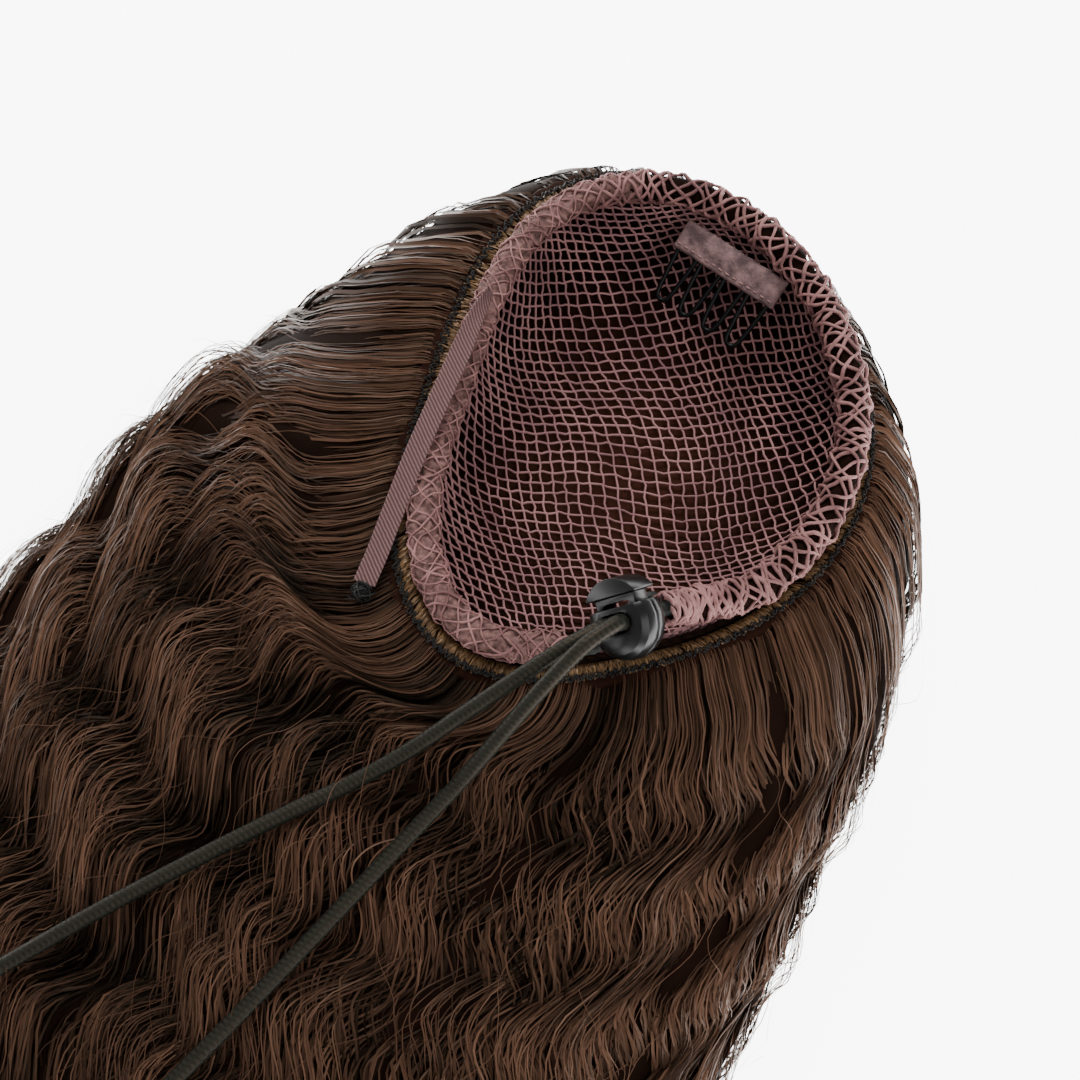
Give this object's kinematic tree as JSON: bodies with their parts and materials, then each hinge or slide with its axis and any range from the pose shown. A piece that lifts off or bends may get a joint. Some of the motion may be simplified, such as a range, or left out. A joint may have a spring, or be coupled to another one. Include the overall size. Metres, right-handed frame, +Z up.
{
  "type": "drawstring ponytail hairpiece",
  "caption": "Wavy ponytail hairpiece with a drawstring net cup, wire comb, strap and sprung cord lock, lying on its side.",
  "frame": {"origin": "on the surface that the hair lies on, below the middle of the net cup", "axes": "+Z up through the cup's mouth; -Y along the fall of hair to its tips; +X to the side of the cord lock"},
  "size_m": [0.1932, 0.3848, 0.068],
  "materials": {
    "hair": "wavy synthetic fibre, soft sheen",
    "weft": "stitched fibre and black thread",
    "net": "matte knotted net",
    "casing": "matte gathered net",
    "cord": "braided elastic, low sheen",
    "lock": "satin black",
    "lock_button": "satin black",
    "comb_wire": "black coated wire",
    "tape": "matte folded tape",
    "strap": "twill tape"
  },
  "bodies": {
    "hairpiece": {"hair": "hair", "weft_band": "weft", "net_cup": "net", "drawstring_casing": "casing", "drawcord_loop": "cord", "cord_tail_left": "cord", "cord_tail_right": "cord", "cord_knot_left": "cord", "cord_knot_right": "cord", "lock_body": "lock", "comb_wire": "comb_wire", "comb_tape": "tape", "loop_strap": "strap"},
    "button": {"lock_button": "lock_button"}
  },
  "joints": [
    {"name": "button_press", "type": "slide", "parent": "hairpiece", "child": "button", "axis": [0.7291, -0.598, -0.3328], "range_m": [0, 0.002], "stiffness_N_per_m": 300}
  ]
}
